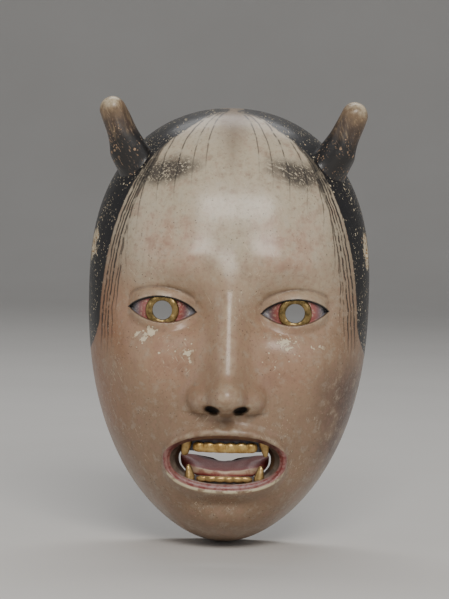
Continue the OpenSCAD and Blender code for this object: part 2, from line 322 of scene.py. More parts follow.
def revolved(profile, axis_point, axis, degrees, steps, bevel=0.0):
    """A closed piece made by spinning a closed profile of points about an axis."""
    bm = bmesh.new()
    verts = [bm.verts.new(Vector(point) * MM) for point in profile]
    edges = [bm.edges.new((a, b)) for a, b in zip(verts, verts[1:] + verts[:1])]
    whole = degrees == 360
    bmesh.ops.spin(bm, geom=verts + edges, cent=Vector(axis_point) * MM, axis=axis,
                   angle=math.radians(degrees), steps=steps, use_merge=whole, use_duplicate=False)
    if not whole:
        bmesh.ops.holes_fill(bm, edges=[e for e in bm.edges if e.is_boundary], sides=0)
    face_outwards(bm)
    if bevel:
        corners = [e for e in bm.edges if e.calc_face_angle(0) > math.radians(40)]
        bmesh.ops.bevel(bm, geom=corners, offset=bevel * MM, offset_type="OFFSET", segments=2,
                        profile=0.5, affect="EDGES", material=-1, clamp_overlap=True)
    return bm


# ---------------------------------------------------------------- the carved shell

def stretched(raw, share):
    """Moves rows of the sphere closer together in the middle, where the features are."""
    unit = raw / (math.pi / 2)
    return (math.pi / 2) * ((1 - share) * unit + share * unit ** 3)


def angles_of(bm):
    ball = positions(bm)
    return np.arcsin(np.clip(ball[:, 2], -1, 1)), np.arctan2(ball[:, 0], -ball[:, 1])


def on_skin(skin, raw_lat, raw_lon):
    return skin(stretched(raw_lat, LAT_SHARE), stretched(raw_lon, LON_SHARE))


def refine(bm, wanted):
    """Splits the faces of the plain dome where wanted(x, z, depth) is true."""
    lat, lon = angles_of(bm)
    x, depth, z = dome(stretched(lat, LAT_SHARE), stretched(lon, LON_SHARE))
    for vert, keep in zip(bm.verts, wanted(x, z, depth)):
        vert.tag = bool(keep)
    edges = [e for e in bm.edges if e.verts[0].tag and e.verts[1].tag]
    bmesh.ops.subdivide_edges(bm, edges=edges, cuts=1, use_grid_fill=True)
    for vert in bm.verts:
        vert.co.normalize()


def mouth_hole(points):
    """Where the skin is cut open for the mouth, just inside the edge of the lips."""
    return mouth_level(points[:, 0], points[:, 2])[0] + 0.9


def mouth_back(points):
    """The mouth's outline on the inner skin, where its side walls have closed in."""
    return mouth_hole(points) + 4.6 * smooth(13, 24, np.abs(points[:, 0]))


def eye_hole(radius):
    def level(points):
        return np.hypot(np.abs(points[:, 0]) - EYE_X, points[:, 2] - EYE_Z) - radius
    return level


def cord_hole(points):
    level = np.hypot(points[:, 1] + CORD_DEPTH, points[:, 2] - CORD_Z) - CORD_R
    return np.where(np.abs(points[:, 0]) > 0.7 * HALF_W, level, 100.0)


def cut_hole(bm, skin, level):
    """Takes out the faces inside a hole, and moves the cut edge on to the hole's true outline."""
    inside = level(on_skin(skin, *angles_of(bm))) < 0
    for vert, gone in zip(bm.verts, inside):
        vert.tag = bool(gone)
    faces = [f for f in bm.faces if all(v.tag for v in f.verts)]
    corners = dict.fromkeys(v for f in faces for v in f.verts)
    bmesh.ops.delete(bm, geom=faces, context="FACES")
    edge = [v for v in corners if v.is_valid and v.is_boundary]
    ball = np.array([v.co for v in edge])
    lat = np.arcsin(ball[:, 2])
    lon = np.arctan2(ball[:, 0], -ball[:, 1])
    tiny = 1e-4
    for _ in range(6):
        here = level(on_skin(skin, lat, lon))
        up = (level(on_skin(skin, lat + tiny, lon)) - here) / tiny
        across = (level(on_skin(skin, lat, lon + tiny)) - here) / tiny
        steep = up * up + across * across + 1e-9
        lat = lat - here * up / steep
        lon = lon - here * across / steep
    for vert, a, b in zip(edge, lat, lon):
        vert.co = (math.cos(a) * math.sin(b), -math.cos(a) * math.cos(b), math.sin(a))


def half_ball(sides, rows):
    bm = bmesh.new()
    bmesh.ops.create_uvsphere(bm, u_segments=sides, v_segments=rows, radius=1)
    bmesh.ops.bisect_plane(bm, geom=bm.verts[:] + bm.edges[:] + bm.faces[:], dist=1e-5,
                           plane_co=(0, 0, 0), plane_no=(0, 1, 0), clear_outer=True)
    return bm


def near_cord(x, z, depth, reach):
    return (np.abs(x) > 50) & (np.hypot(depth - CORD_DEPTH, z - CORD_Z) < reach)


def outer_half():
    def near_features(x, z, depth):
        by_nose = (np.abs(x) < 23) & (z > -48) & (z < 20)
        near_eye_or_mouth = (eye_level(x, z)[0] < 9) | (mouth_level(x, z)[0] < 12)
        return near_eye_or_mouth | by_nose | near_cord(x, z, depth, 9)

    def near_edges(x, z, depth):
        eye = eye_level(x, z)[0]
        mouth = mouth_level(x, z)[0]
        by_nose = (np.abs(x) < 20) & (z > -42) & (z < -20)
        on_edge = ((eye < 6) & (eye > -5)) | ((mouth < 10) & (mouth > -4))
        return on_edge | by_nose | near_cord(x, z, depth, 6)

    bm = half_ball(240, 176)
    refine(bm, near_features)
    refine(bm, near_edges)
    for level in (mouth_hole, eye_hole(VIEW_R), cord_hole):
        cut_hole(bm, outer_skin, level)
    place(bm, on_skin(outer_skin, *angles_of(bm)) * MM)
    return bm


def inner_half():
    def near_holes(x, z, depth):
        by_eye = np.hypot(np.abs(x) - EYE_X, z - EYE_Z) < 14
        return (mouth_level(x, z)[0] < 6) | by_eye | near_cord(x, z, depth, 9)

    bm = half_ball(140, 176)
    refine(bm, near_holes)
    refine(bm, near_holes)
    for level in (mouth_back, eye_hole(VIEW_FLARE_R), cord_hole):
        cut_hole(bm, inner_skin, level)
    place(bm, on_skin(inner_skin, *angles_of(bm)) * MM)
    return bm


def open_loops(bm):
    """Each loop of open edges, under the name of the hole that it runs round."""
    left = {e for e in bm.edges if e.is_boundary}
    loops = {}
    for first in bm.edges:
        if first not in left:
            continue
        loop = []
        edge, vert = first, first.verts[0]
        while edge:
            loop.append(edge)
            left.discard(edge)
            vert = edge.other_vert(vert)
            edge = next((e for e in vert.link_edges if e in left), None)
        points = np.array([e.verts[0].co for e in loop]) / MM
        x, y, z = points.mean(axis=0)
        side = "left" if x < 0 else "right"
        if np.ptp(points[:, 2]) > HALF_H:
            name = "rim"
        elif np.ptp(points[:, 0]) > MOUTH_HALF:
            name = "mouth"
        else:
            name = side + (" eye" if abs(x) < 1.2 * EYE_X else " cord")
        loops.setdefault(name, []).append(loop)
    return loops


def add_skin(bm, half, is_outer):
    """Adds half a shell to the whole, with its points marked as outer or inner."""
    layer = half.verts.layers.float.new("outer")
    for vert in half.verts:
        vert[layer] = is_outer
    mesh = bpy.data.meshes.new("skin")
    half.to_mesh(mesh)
    half.free()
    bm.from_mesh(mesh)
    bpy.data.meshes.remove(mesh)


def round_arris(bm, loop, inwards):
    """Rounds a rim's sharp edge. inwards is 1 to step to the middle of the mask and -1 away."""
    radius = bm.verts.layers.float.new("radius")
    rim = dict.fromkeys(v for e in loop for v in e.verts)
    for vert in rim:
        nearest = min(-e.other_vert(vert).co.y for e in vert.link_edges if e.other_vert(vert) not in rim)
        vert[radius] = min(0.6 * MM, 0.45 * nearest)
    for vert in rim:
        vert.co.y -= vert[radius]
    edges = loop
    for step_in, left_over in ((0.293, 0.293), (0.707, 0.0)):
        made = bmesh.ops.extrude_edge_only(bm, edges=edges)["geom"]
        edges = [g for g in made if isinstance(g, bmesh.types.BMEdge) and g.is_boundary]
        for vert in (g for g in made if isinstance(g, bmesh.types.BMVert)):
            shrink = 1 - inwards * step_in * vert[radius] / math.hypot(vert.co.x, vert.co.z)
            vert.co = (vert.co.x * shrink, -left_over * vert[radius], vert.co.z * shrink)
    bm.verts.layers.float.remove(radius)


def carved_shell(material):
    """The whole shell: two skins joined round the rim, the mouth, the eyes and the cord holes."""
    bm = bmesh.new()
    add_skin(bm, outer_half(), 1.0)
    add_skin(bm, inner_half(), 0.0)

    # The lips run straight back for a little before the wall of the mouth opens out.
    outer = bm.verts.layers.float["outer"]
    lips = next(loop for loop in open_loops(bm)["mouth"] if loop[0].verts[0][outer] > 0.5)
    for back in (1.2, 1.8):
        made = bmesh.ops.extrude_edge_only(bm, edges=lips)["geom"]
        verts = [g for g in made if isinstance(g, bmesh.types.BMVert)]
        bmesh.ops.translate(bm, verts=verts, vec=(0, back * MM, 0))
        lips = [g for g in made if isinstance(g, bmesh.types.BMEdge) and g.is_boundary]
    for loop in open_loops(bm)["rim"]:
        round_arris(bm, loop, 1 if loop[0].verts[0][outer] > 0.5 else -1)
    for name, pair in open_loops(bm).items():
        short, long = sorted(pair, key=len)
        by_length = sorted(short, key=lambda e: -e.calc_length())
        bmesh.ops.subdivide_edges(bm, edges=by_length[:len(long) - len(short)], cuts=1)
        loops = open_loops(bm)[name]
        inner_verts = list(dict.fromkeys(v for e in loops[1] for v in e.verts))
        # The bridge tells its way round from where one loop lies behind the other.
        bmesh.ops.translate(bm, verts=inner_verts, vec=(0, 20 * MM, 0))
        bmesh.ops.bridge_loops(bm, edges=loops[0] + loops[1])
        bmesh.ops.translate(bm, verts=inner_verts, vec=(0, -20 * MM, 0))
    face_outwards(bm)

    shell = finish_piece(bm, "face_shell_skin", material, ["face_shell"])
    mark_shell(shell)
    return shell


def mark_shell(shell):
    """Stores how far each point lies from the painted edges, for the paint to follow."""
    x, _, z = (read_array(shell.data.vertices, "co", 3) / MM).T
    eye, eye_side = eye_level(x, z)
    mouth, _ = mouth_level(x, z)
    set_attribute(shell, "eye_gap", eye)
    set_attribute(shell, "eye_side", eye_side)
    set_attribute(shell, "mouth_gap", mouth)
    set_attribute(shell, "nostril", nostril_level(x, z))


def crevices(mesh):
    """How hollow (positive) or proud (negative) each point is, in millimetres, over about 2 mm."""
    count = len(mesh.vertices)
    points = read_array(mesh.vertices, "co", 3) / MM
    normals = read_array(mesh.vertices, "normal", 3)
    a, b = read_array(mesh.edges, "vertices", 2, np.int32).T
    ends_from = np.concatenate([a, b])
    ends_to = np.concatenate([b, a])
    length = np.linalg.norm(points[ends_from] - points[ends_to], axis=1) + 0.02
    weight = 1 / length
    total = np.bincount(ends_from, weight, count) + 1e-9
    spacing = np.bincount(ends_from, weight * length, count) / total
    # A coarse part of the mesh moves less at each pass, so that the reach is the same all over.
    share = np.minimum(1, (0.45 / (spacing + 1e-9)) ** 2)[:, None]
    blurred = points.astype(float)
    for _ in range(24):
        pulled = [np.bincount(ends_from, weight * blurred[ends_to, k], count) / total for k in range(3)]
        blurred += (np.stack(pulled, axis=1) - blurred) * share
    return ((blurred - points) * normals).sum(axis=1)


# ---------------------------------------------------------------- shader expressions

def linear(*channels):
    """A colour from 0 to 255 per channel, as the shader's linear values."""
    values = [c / 255 for c in channels]
    return tuple(v / 12.92 if v <= 0.04045 else ((v + 0.055) / 1.055) ** 2.4 for v in values) + (1.0,)


class Value:
    """A number or a vector on its way through a material; arithmetic on it adds Math nodes."""

    def __init__(self, paint, socket):
        self.paint = paint
        self.socket = socket

    def math(self, operation, *others):
        return self.paint.node("Math", {"operation": operation}, [self, *others])

    def __add__(self, other):
        return self.math("ADD", other)

    def __sub__(self, other):
        return self.math("SUBTRACT", other)

    def __mul__(self, other):
        return self.math("MULTIPLY", other)

    def __truediv__(self, other):
        return self.math("DIVIDE", other)

    def __rsub__(self, other):
        return self.paint.node("Math", {"operation": "SUBTRACT"}, [other, self])

    __radd__ = __add__
    __rmul__ = __mul__

    def __abs__(self):
        return self.math("ABSOLUTE")

    def __pow__(self, power):
        return self.math("POWER", power)

    def at_least(self, other):
        return self.math("MAXIMUM", other)

    def at_most(self, other):
        return self.math("MINIMUM", other)

    def sine(self):
        return self.math("SINE")

    def ramp(self, start, end):
        """0 at start, 1 at end, with an easy slope between them. start may be the larger."""
        if start > end:
            return 1 - self.ramp(end, start)
        settings = {"interpolation_type": "SMOOTHSTEP"}
        return self.paint.node("MapRange", settings, {"Value": self, "From Min": start, "From Max": end})

    def near(self, middle, reach):
        """1 where the value is middle, falling to 0 at a distance of reach."""
        return abs(self - middle).ramp(reach, reach * 0.3)


class Paint:
    """One material, and the nodes that its finish is worked out with."""

    def __init__(self, name):
        self.material = bpy.data.materials.new(name)
        self.material.use_nodes = True
        self.tree = self.material.node_tree
        self.shader = self.tree.nodes["Principled BSDF"]
        self.position = self.node("TexCoord", out="Object")
        self.mm = self.node("VectorMath", {"operation": "SCALE"}, {"Vector": self.position, "Scale": 1 / MM})
        parts = self.node("SeparateXYZ", None, [self.mm], out=None)
        self.x, self.y, self.z = (Value(self, parts.outputs[k]) for k in range(3))

    def node(self, kind, settings=None, sockets=None, out=0):
        """Adds a node, gives it its settings and then its sockets, and returns one output."""
        node = self.tree.nodes.new("ShaderNode" + kind)
        for name, value in (settings or {}).items():
            setattr(node, name, value)
        pairs = sockets.items() if isinstance(sockets, dict) else enumerate(sockets or [])
        for key, value in pairs:
            self.feed(node.inputs[key], value)
        return node if out is None else Value(self, node.outputs[out])

    def feed(self, socket, value):
        if isinstance(value, Value):
            self.tree.links.new(value.socket, socket)
        else:
            socket.default_value = value

    def stretch(self, x, y, z, turn=(0.0, 0.0, 0.0)):
        """The position in millimetres, turned and then stretched, to draw a pattern out."""
        turned = self.node("Mapping", {"vector_type": "POINT"}, {"Vector": self.mm, "Rotation": turn})
        return self.node("Mapping", {"vector_type": "POINT"}, {"Vector": turned, "Scale": (x, y, z)})

    def noise(self, size, detail=3.0, roughness=0.55, vector=None):
        """Cloudy noise from 0 to 1 with blots of about the given size in millimetres."""
        sockets = {"Vector": vector or self.mm, "Scale": 1 / size, "Detail": detail,
                   "Roughness": roughness}
        return self.node("TexNoise", None, sockets, out="Fac")

    def cells(self, size, feature="F1"):
        """Distance from the nearest of many scattered points, about size millimetres apart."""
        sockets = {"Vector": self.mm, "Scale": 1 / size}
        return self.node("TexVoronoi", {"feature": feature}, sockets, out="Distance")

    def attribute(self, name):
        return self.node("Attribute", {"attribute_name": name, "attribute_type": "GEOMETRY"}, out="Fac")

    def mix(self, factor, under, over):
        """The colour under, covered by the colour over as far as factor says."""
        return self.node("Mix", {"data_type": "RGBA", "clamp_factor": True},
                         {0: factor, 6: under, 7: over}, out=2)

    def bump(self, height, distance_mm, strength):
        sockets = {"Height": height, "Distance": distance_mm * MM, "Strength": strength}
        return self.node("Bump", None, sockets, out="Normal")

    def finish(self, colour, roughness, normal=None, metallic=0.0, coat=None, **constants):
        """Connects the finish to the shader. The other values are the same all over."""
        self.feed(self.shader.inputs["Base Color"], colour)
        self.feed(self.shader.inputs["Roughness"], roughness)
        self.feed(self.shader.inputs["Metallic"], metallic)
        if coat is not None:
            self.feed(self.shader.inputs["Coat Weight"], coat)
        if normal is not None:
            self.feed(self.shader.inputs["Normal"], normal)
        for name, value in constants.items():
            self.shader.inputs[name.replace("_", " ")].default_value = value
        return self.material


# ---------------------------------------------------------------- finishes

FOREHEAD = linear(186, 172, 148)
CHEEK = linear(160, 131, 104)
JAW = linear(136, 110, 86)
BLUSH = linear(176, 128, 106)
ROSE = linear(164, 126, 108)
COOL = linear(178, 172, 158)
OCHRE = linear(146, 94, 58)
STAIN = linear(70, 42, 30)
# Dark brown for soiling, and for painted shade in the hollows of the face.
DIRT_AND_SHADE = linear(58, 42, 34)
# Brown for soiling, and for painted shade towards the sides of the face.
GRIME_AND_SHADE = linear(104, 80, 60)
CHIP = linear(214, 200, 172)
BARE_WOOD = linear(150, 112, 70)
SOOT = linear(44, 38, 36)
HAIR = linear(22, 20, 21)
LINE = linear(18, 15, 15)
LIP_RED = linear(122, 54, 50)
LIP_WORN = linear(142, 102, 94)
# Dark red-brown, for the painted shadow on the upper lip.
LIP_PAINTED_SHADOW = linear(70, 38, 34)
CREAM = linear(212, 200, 166)
MOUTH_WALL = linear(112, 98, 84)
EYE_RED = linear(150, 84, 78)
EYE_GREY = linear(124, 122, 128)
BACK_LACQUER = linear(58, 38, 27)
BACK_WOOD = linear(142, 104, 64)


def scratches(paint, size, turn, amount, stretch=14.0):
    """Thin broken lines along a direction, for scratches and brush marks."""
    vector = paint.stretch(1.0, 1.0, 1 / stretch, turn=turn)
    lines = paint.noise(size, detail=2.0, vector=vector)
    return lines.ramp(1 - amount, 1 - amount * 0.72)


def old_skin(paint):
    """The colour of the bare gesso face, before hair, brows, eyes and lips are painted on it."""
    broad = paint.noise(34, detail=4.0)
    blots = paint.noise(9, detail=5.0, roughness=0.62)
    fine = paint.noise(1.6, detail=4.0, roughness=0.7)
    height = paint.z + (broad - 0.5) * 46
    colour = paint.mix(height.ramp(-58, -8), JAW, CHEEK)
    colour = paint.mix(height.ramp(2, 52), colour, FOREHEAD)
    side = abs(paint.x)
    over_eye = side.near(27, 21) * paint.z.near(40, 20)
    by_nose = side.near(25, 20) * paint.z.near(-12, 24)
    colour = paint.mix((over_eye + by_nose * 0.7) * blots.ramp(0.2, 0.8) * 0.6, colour, BLUSH)
    # The sides darken towards their edges, partly soiling and partly painted shade.
    edge = side.ramp(38, 64) * (0.35 + broad.ramp(0.35, 0.65) * 0.5)
    colour = paint.mix(edge * 0.6, colour, GRIME_AND_SHADE)
    left_edge = paint.x.ramp(-36, -60) * paint.z.near(-14, 64) * broad.ramp(0.2, 0.55)
    colour = paint.mix(left_edge * 0.6, colour, OCHRE)
    right_edge = paint.x.ramp(36, 56) * paint.z.near(-44, 40) * blots.ramp(0.28, 0.55)
    colour = paint.mix(right_edge * 0.9, colour, STAIN)
    colour = paint.mix(blots.ramp(0.5, 0.8) * 0.4, colour, GRIME_AND_SHADE)
    mottle = paint.noise(4.5, detail=5.0, roughness=0.68)
    colour = paint.mix(mottle.ramp(0.48, 0.68) * 0.30, colour, ROSE)
    colour = paint.mix(mottle.ramp(0.50, 0.32) * 0.24, colour, COOL)
    brushed = paint.noise(2.0, detail=3.0, vector=paint.stretch(1, 1, 0.25))
    colour = paint.mix(brushed.ramp(0.45, 0.7) * 0.10, colour, GRIME_AND_SHADE)
    return paint.mix(fine.ramp(0.5, 0.75) * 0.45, colour, GRIME_AND_SHADE)


def hair_edge(paint):
    """Below 1 on the face and above 1 on the painted hair, which thins out under the temples."""
    across = (abs(paint.x) / 61.5) ** 2.3
    up = (abs(paint.z + 10) / 108) ** 2.3
    edge = (across + up) ** (1 / 2.3)
    below = paint.z.ramp(4, -30)
    parting = abs(paint.x + (paint.noise(6) - 0.5) * 1.5).ramp(5.2, 3.6) * paint.z.ramp(80, 90)
    taper = abs(paint.x).ramp(26, 4) * paint.z.ramp(70, 90)
    return edge - below * 0.16 - parting * 0.3 - taper * 0.05


def strand(paint, reach, foot, width, wobble):
    """One thin hair from the parting, out to a side distance of reach at a height of foot."""
    drop = 104 - foot
    across = (abs(paint.x) / reach) ** 2.1
    up = (abs(paint.z - foot) / drop) ** 2.1
    arc = (across + up) ** (1 / 2.1) + wobble
    ends = paint.z.ramp(foot - 8, foot + 14) * abs(paint.x).ramp(1.2, 2.6)
    return arc.near(1.0, width / reach) * ends


def strands(paint):
    """Thin painted hairs that follow the hairline, and some that fall loose from the parting."""
    slow = (paint.noise(20, detail=2.0) - 0.5) * 0.075
    quick = (paint.noise(7, detail=2.0) - 0.5) * 0.022
    drawn = None
    for reach, foot, width, weight in (
            (60.0, -9, 0.50, 0.95), (58.4, -9, 0.42, 0.85), (56.9, -9, 0.48, 0.95), (54.9, -7, 0.38, 0.75),
            (52.6, 8, 0.42, 0.8), (49.0, 30, 0.42, 0.75), (43.5, 50, 0.40, 0.75), (35.5, 60, 0.40, 0.7),
            (27.0, 64, 0.42, 0.8), (19.0, 70, 0.38, 0.7), (12.5, 76, 0.38, 0.75)):
        share = min(1.0, (62 - reach) / 14)
        line = strand(paint, reach, foot, width, slow * share + quick) * weight
        drawn = line if drawn is None else drawn.at_least(line)
    worn = paint.noise(4.5, detail=4.0).ramp(0.36, 0.50)
    return drawn * (0.25 + 0.75 * worn)


def brow_smudges(paint):
    """Two smoky brows, high on the forehead, whose outer ends hang a little lower."""
    side = abs(paint.x) - 31
    up = paint.z - 74 + side * 0.24
    cloud = (paint.noise(7, detail=5.0, roughness=0.62) - 0.5) * 0.9
    shape = ((abs(side) / 18.5) ** 2 + (abs(up) / 7.6) ** 2) ** 0.5 + cloud * 0.8
    return shape.ramp(1.12, 0.35)


def chips(paint, size, amount):
    """Small ragged flakes lost from the paint."""
    ragged = paint.noise(size * 0.45, detail=3.0) * size * 0.035
    spots = paint.cells(size) + ragged * 1.2
    where = paint.noise(size * 5, detail=2.0)
    return spots.ramp(0.22 + amount, 0.16 + amount) * where.ramp(0.50, 0.60)


def painted_wood():
    """Aged gesso and lacquer on the front, and lacquered gouged wood on the back."""
    paint = Paint("aged_gesso")
    outer = paint.attribute("outer")
    crevice = paint.attribute("crevice")
    eye = paint.attribute("eye_gap")
    eye_side = paint.attribute("eye_side")
    mouth = paint.attribute("mouth_gap")
    nostril = paint.attribute("nostril")
    side = abs(paint.x)

    colour = old_skin(paint)
    # Painted shade, with some soiling, darkens the hollows, by how hollow each point is.
    colour = paint.mix(crevice.ramp(0.08, 0.6) * 0.5, colour, DIRT_AND_SHADE)
    rubbed = crevice.ramp(-0.08, -0.34) * paint.noise(4).ramp(0.35, 0.65)
    colour = paint.mix(rubbed * 0.25, colour, CHIP)

    # Brows, then the white scratches across them.
    brow = brow_smudges(paint)
    colour = paint.mix(brow * 0.88, colour, SOOT)
    brow_scratch = scratches(paint, 0.8, (0.0, 1.25, 0.0), 0.42, 6.0).at_least(
        scratches(paint, 0.8, (0.2, 0.5, 0.0), 0.40, 5.0)).at_least(
            scratches(paint, 0.7, (0.1, -0.5, 0.3), 0.40, 4.0)) * brow
    colour = paint.mix(brow_scratch * 0.85, colour, CHIP)

    # Hair band and strands.
    edge = hair_edge(paint)
    ragged = (paint.noise(3.2, detail=4.0) - 0.5) * 0.012
    hair = (edge + ragged).ramp(0.994, 1.003)
    at_parting = (side + (106 - paint.z) * 0.45).ramp(19, 3)
    colour = paint.mix(at_parting * 0.65, colour, GRIME_AND_SHADE)
    colour = paint.mix(strands(paint) * 0.95, colour, HAIR)
    colour = paint.mix(hair, colour, HAIR)
    specks = paint.cells(1.5).ramp(0.24, 0.14) * paint.noise(7, detail=3.0).ramp(0.46, 0.58)
    streaks = scratches(paint, 0.8, (0.4, 0.3, 0.2), 0.40, 5.0) * paint.noise(11).ramp(0.45, 0.6)
    hair_chip = chips(paint, 2.6, 0.08).at_least(specks).at_least(streaks * 0.7) * hair
    cord_wear = (((paint.y + CORD_DEPTH) / 7) ** 2 + ((paint.z - CORD_Z - 2) / 9) ** 2) ** 0.5
    cord_chip = (cord_wear + (paint.noise(4, detail=4.0) - 0.5) * 1.6).ramp(0.95, 0.8) * side.ramp(40, 52)
    lost = hair_chip.at_least(cord_chip)

    # Specks, scratches and lost flakes on the skin.
    speck = paint.cells(2.2).ramp(0.17, 0.08) * paint.noise(16).ramp(0.42, 0.6)
    colour = paint.mix(speck * 0.75 * (1 - hair), colour, DIRT_AND_SHADE)
    pale_scratch = scratches(paint, 0.7, (0.3, 0.5, 0.2), 0.36).at_least(
        scratches(paint, 0.8, (-0.2, -0.7, 0.4), 0.35))
    pale_scratch = pale_scratch * paint.noise(22).ramp(0.46, 0.62)
    colour = paint.mix(pale_scratch * 0.55, colour, CHIP)
    under_eye = side.near(30, 22) * paint.z.near(-8, 16)
    flakes = paint.noise(8, detail=6.0, roughness=0.6).ramp(0.60, 0.635)
    skin_chip = chips(paint, 3.4, 0.02).at_least(flakes * 0.8) * (under_eye * 0.95 + 0.06)
    lost = lost.at_least(skin_chip * (1 - hair))
    colour = paint.mix(lost.ramp(0.25, 0.6) * 0.9, colour, CHIP)
    colour = paint.mix(lost.ramp(0.8, 1.0) * paint.noise(1.2).ramp(0.5, 0.62), colour, BARE_WOOD)

    # Eyes: a red and grey ball, a black upper lid line and a thin lower one.
    from_ring = (((side - EYE_X) ** 2) + ((paint.z - EYE_Z) ** 2)) ** 0.5
    ball = paint.mix(from_ring.ramp(8.6, 13.5), EYE_RED, EYE_GREY)
    ball = paint.mix(paint.noise(1.4).ramp(0.5, 0.7) * 0.4, ball, CHIP)
    colour = paint.mix(eye.ramp(0.15, -0.15), colour, ball)
    upper_line = eye.near(0.25, 0.85) * eye_side.ramp(-0.2, 0.2)
    lower_line = eye.near(0.1, 0.45) * eye_side.ramp(0.2, -0.2) * 0.55
    colour = paint.mix(upper_line.at_least(lower_line), colour, LINE)

    # Lips: worn red along the opening, widest at the sides, and a chipped pale line below it. The red of the
    # upper lip is darkened as painted shadow.
    under_mouth = paint.z.ramp(MOUTH_Z - 2, MOUTH_Z - 9)
    over_mouth = paint.z.ramp(MOUTH_Z + 3, MOUTH_Z + 9)
    reach = 2.5 - over_mouth * 1.5 - under_mouth * 0.9
    lip = (reach - mouth + (paint.noise(3) - 0.5) * 0.8).ramp(-0.2, 0.35)
    red = paint.mix(paint.noise(2.2, detail=4.0).ramp(0.36, 0.58) * 0.85, LIP_RED, LIP_WORN)
    # Painted shadow: the red band of the upper lip is darkened.
    red = paint.mix(over_mouth * 0.75, red, LIP_PAINTED_SHADOW)
    colour = paint.mix(lip, colour, red)
    cream = (mouth - reach).near(0.7, 0.9) * paint.noise(5).ramp(0.40, 0.54) * under_mouth
    colour = paint.mix(cream * 0.9, colour, CREAM)
    wall = paint.mix(paint.noise(2.5).ramp(0.4, 0.7) * 0.5, MOUTH_WALL, DIRT_AND_SHADE)
    colour = paint.mix(mouth.ramp(-0.3, -1.2), colour, wall)
    # Painted shade: the nostril pits are painted near black, as deep holes in shadow.
    colour = paint.mix(nostril.ramp(0.25, 0.75), colour, LINE)

    # Behind: lacquer worn to the wood on the high marks of the gouge.
    gouge = ((paint.x * 0.62 + (paint.z * 0.05).sine() * 1.3).sine()
             * (paint.z * 0.16 + (paint.x * 0.21).sine() * 0.9).sine())
    grain = paint.noise(1.1, detail=3.0, vector=paint.stretch(1, 1, 0.07))
    worn_through = (gouge * 0.4 + paint.noise(18, detail=4.0)).ramp(0.62, 0.86)
    back = paint.mix(worn_through * 0.3, BACK_LACQUER, BACK_WOOD)
    back = paint.mix(grain.ramp(0.45, 0.7) * 0.45, back, DIRT_AND_SHADE)
    rim = paint.y.ramp(-1.0, -0.3)
    back = paint.mix(rim * paint.noise(6, detail=4.0).ramp(0.3, 0.7) * 0.55, back, BACK_WOOD)
    front = outer.ramp(0.4, 0.6) * (1 - rim)
    colour = paint.mix(front, back, colour)

    gloss = paint.noise(12, detail=4.0)
    roughness = 0.40 + gloss * 0.18 + paint.noise(1.3).ramp(0.5, 0.8) * 0.14
    roughness = roughness + lost * 0.3 + brow * 0.12 + crevice.ramp(0.05, 0.3) * 0.2
    roughness = roughness * front + (0.62 - worn_through * 0.1) * (1 - front)
    height = (paint.noise(7, detail=3.0) * 0.5 + paint.noise(0.9, detail=3.0) * 0.09
              - pale_scratch * 0.12 - brow_scratch * 0.2 - lost * 0.5 - speck * 0.10)
    height = height * front + (grain * 0.25 + gouge * 0.1) * (1 - front)
    coat = (0.46 - lost * 0.4) * front
    return paint.finish(colour, roughness.at_most(0.9), paint.bump(height, 0.55, 0.8), coat=coat,
                        Coat_Roughness=0.22, Specular_IOR_Level=0.4)


def worn_horn():
    """Dark lacquer at the foot, brown in the middle and rubbed pale at the tip."""
    paint = Paint("worn_horn")
    along = paint.attribute("along")
    blots = paint.noise(5, detail=5.0, roughness=0.65)
    fine = paint.noise(1.1, detail=4.0)
    place = along + (blots - 0.5) * 0.36
    colour = paint.mix(place.ramp(0.36, 0.60), linear(24, 21, 20), linear(70, 55, 43))
    colour = paint.mix(place.ramp(0.62, 0.86), colour, linear(120, 98, 74))
    colour = paint.mix(place.ramp(0.84, 1.02), colour, linear(206, 190, 160))
    streak = paint.noise(1.0, detail=2.0, vector=paint.stretch(1, 1, 0.12, turn=(0.1, 0.3, 0)))
    colour = paint.mix(streak.ramp(0.5, 0.7) * 0.35 * along.ramp(0.35, 0.6), colour, linear(176, 152, 116))
    lost = (chips(paint, 3.0, 0.10).at_least(chips(paint, 1.5, 0.08)) * along.ramp(0.8, 0.5)).at_least(
        scratches(paint, 0.8, (0.2, 0.6, 0.1), 0.38, 5.0) * 0.7)
    colour = paint.mix(lost * 0.85, colour, linear(170, 140, 112))
    colour = paint.mix(fine.ramp(0.58, 0.74) * 0.4, colour, DIRT_AND_SHADE)
    roughness = 0.34 + blots * 0.2 + lost * 0.25
    height = blots * 0.4 + fine * 0.12 - lost * 0.4 + streak * 0.1
    return paint.finish(colour, roughness, paint.bump(height, 0.5, 0.8), coat=0.3 - lost * 0.3,
                        Coat_Roughness=0.2)


def gilding(name, bright, dull, dirt_and_shade, wear):
    """Beaten gold leaf, bright where it is rubbed, dark where it is soiled and in its hollows, which are
    partly painted shade.
    """
    paint = Paint(name)
    crevice = paint.attribute("crevice")
    blots = paint.noise(3.2, detail=5.0, roughness=0.6)
    fine = paint.noise(0.7, detail=3.0)
    colour = paint.mix(blots.ramp(0.35, 0.68), bright, dull)
    # Painted shade, with some soiling, darkens the hollows; blots and specks add real soiling.
    grime_and_shade = (crevice.ramp(0.06, 0.50) * 0.6).at_least(fine.ramp(0.60, 0.74) * 0.4).at_least(
        blots.ramp(0.60, 0.78) * wear)
    colour = paint.mix(grime_and_shade, colour, dirt_and_shade)
    roughness = 0.30 + blots * 0.18 + grime_and_shade * 0.3
    beaten = paint.cells(1.7, feature="SMOOTH_F1")
    height = beaten * 0.5 + fine * 0.12 + blots * 0.2
    return paint.finish(colour, roughness, paint.bump(height, 0.22, 0.8), metallic=0.92 - grime_and_shade * 0.7)


